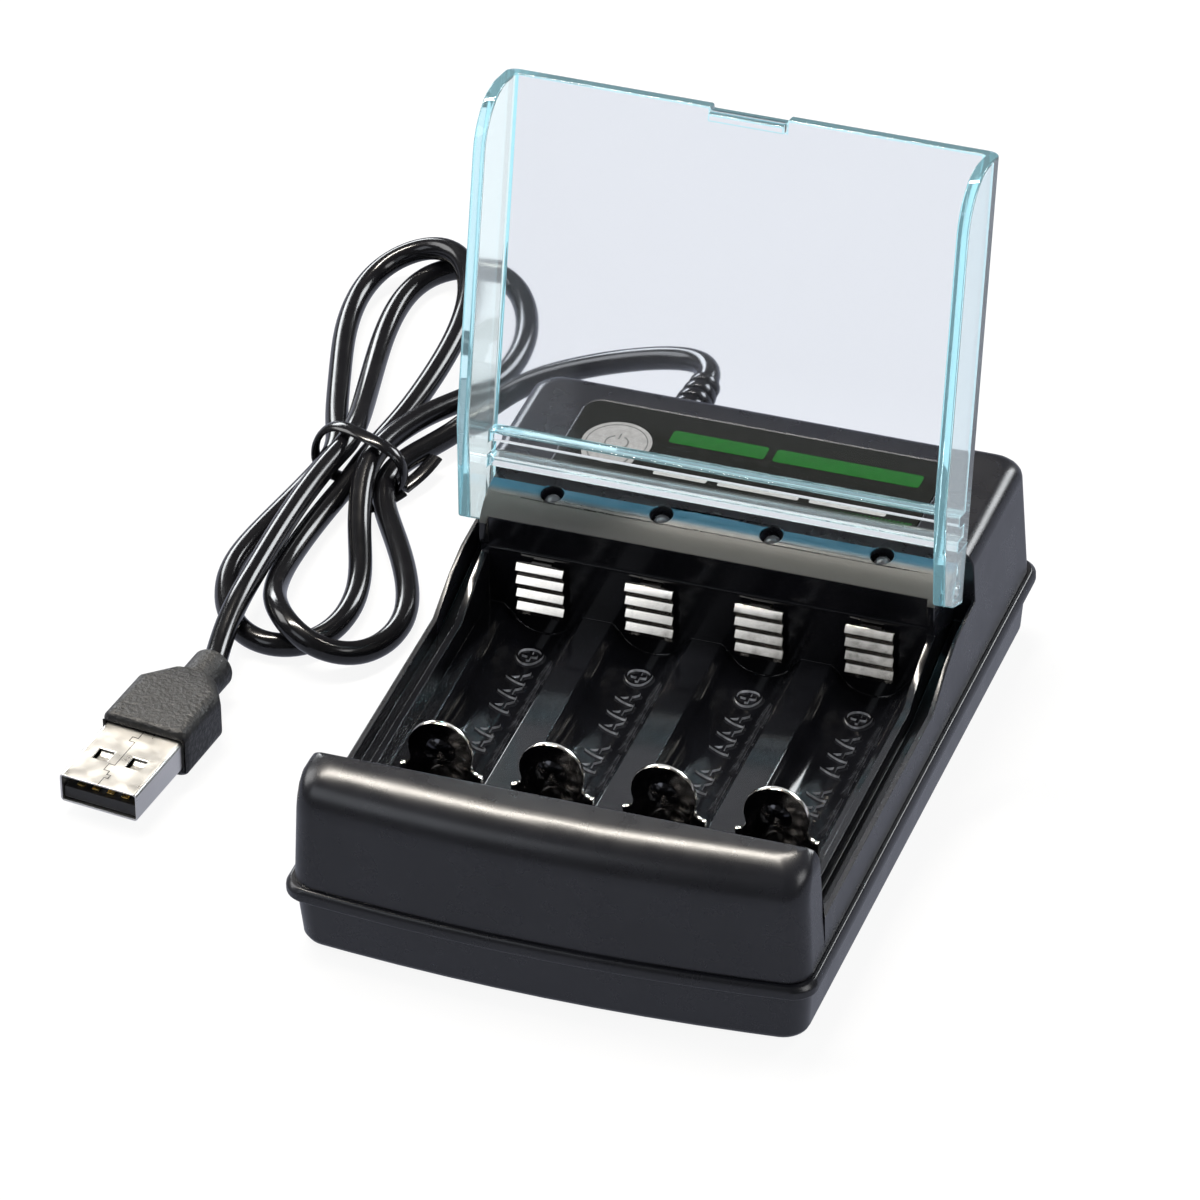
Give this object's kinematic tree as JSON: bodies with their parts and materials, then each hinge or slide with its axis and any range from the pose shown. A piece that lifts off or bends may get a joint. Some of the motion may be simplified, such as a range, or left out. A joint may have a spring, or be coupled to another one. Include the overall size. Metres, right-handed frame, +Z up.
{
  "type": "aa battery charger",
  "caption": "Bay charger for AA and AAA cells in black plastic, with a clear hinged lid, sprung slider contacts, indicator lamps and a captive USB lead",
  "frame": {"origin": "on the table, under the middle of the case's plan", "axes": "+X to the right seen from the front, +Y from the front block to the hinge and lead, +Z up"},
  "size_m": [0.1212, 0.1649, 0.0877],
  "materials": {
    "case_black": "satin moulded",
    "lid_clear": "clear moulded, pale blue",
    "label_print": "printed film",
    "board_green": "solder mask",
    "chip_black": "moulded",
    "nickel": "bright nickel plate",
    "lamp_clear": "clear resin",
    "cord_black": "smooth glossy sheath",
    "grip_black": "fine grain",
    "shell_steel": "satin nickel plate",
    "tongue_dark": "moulded",
    "pin_gold": "gold plate"
  },
  "bodies": {
    "case": {"lower_case": "case_black", "upper_case": "case_black", "label": "label_print", "main_board": "board_green", "control_chip": "chip_black", "capacitor": "chip_black", "case_screws": "nickel", "rear_contact_1": "nickel", "rear_contact_2": "nickel", "rear_contact_3": "nickel", "rear_contact_4": "nickel", "slider_spring_1": "nickel", "slider_spring_2": "nickel", "slider_spring_3": "nickel", "slider_spring_4": "nickel", "led_1": "lamp_clear", "led_2": "lamp_clear", "led_3": "lamp_clear", "led_4": "lamp_clear", "strain_relief": "cord_black", "cord_lead": "cord_black", "cord_hank": "cord_black", "cord_tie": "cord_black", "cord_tail": "cord_black", "plug_grip": "grip_black", "plug_shell": "shell_steel", "plug_tongue": "tongue_dark", "plug_pins": "pin_gold"},
    "lid": {"lid": "lid_clear"},
    "slider_1": {"slider_contact_1": "nickel"},
    "slider_2": {"slider_contact_2": "nickel"},
    "slider_3": {"slider_contact_3": "nickel"},
    "slider_4": {"slider_contact_4": "nickel"}
  },
  "joints": [
    {"name": "lid_hinge", "type": "hinge", "parent": "case", "child": "lid", "pos_m": [0, 0.0216, 0.0255], "axis": [1, 0, 0], "range_deg": [0, 103.5]},
    {"name": "slider_1_slide", "type": "slide", "parent": "case", "child": "slider_1", "axis": [0, -1, 0], "range_m": [0, 0.0117], "stiffness_N_per_m": 220, "springref_m": -0.004, "deforming": ["slider_spring_1"]},
    {"name": "slider_2_slide", "type": "slide", "parent": "case", "child": "slider_2", "axis": [0, -1, 0], "range_m": [0, 0.0117], "stiffness_N_per_m": 220, "springref_m": -0.004, "deforming": ["slider_spring_2"]},
    {"name": "slider_3_slide", "type": "slide", "parent": "case", "child": "slider_3", "axis": [0, -1, 0], "range_m": [0, 0.0117], "stiffness_N_per_m": 220, "springref_m": -0.004, "deforming": ["slider_spring_3"]},
    {"name": "slider_4_slide", "type": "slide", "parent": "case", "child": "slider_4", "axis": [0, -1, 0], "range_m": [0, 0.0117], "stiffness_N_per_m": 220, "springref_m": -0.004, "deforming": ["slider_spring_4"]}
  ]
}
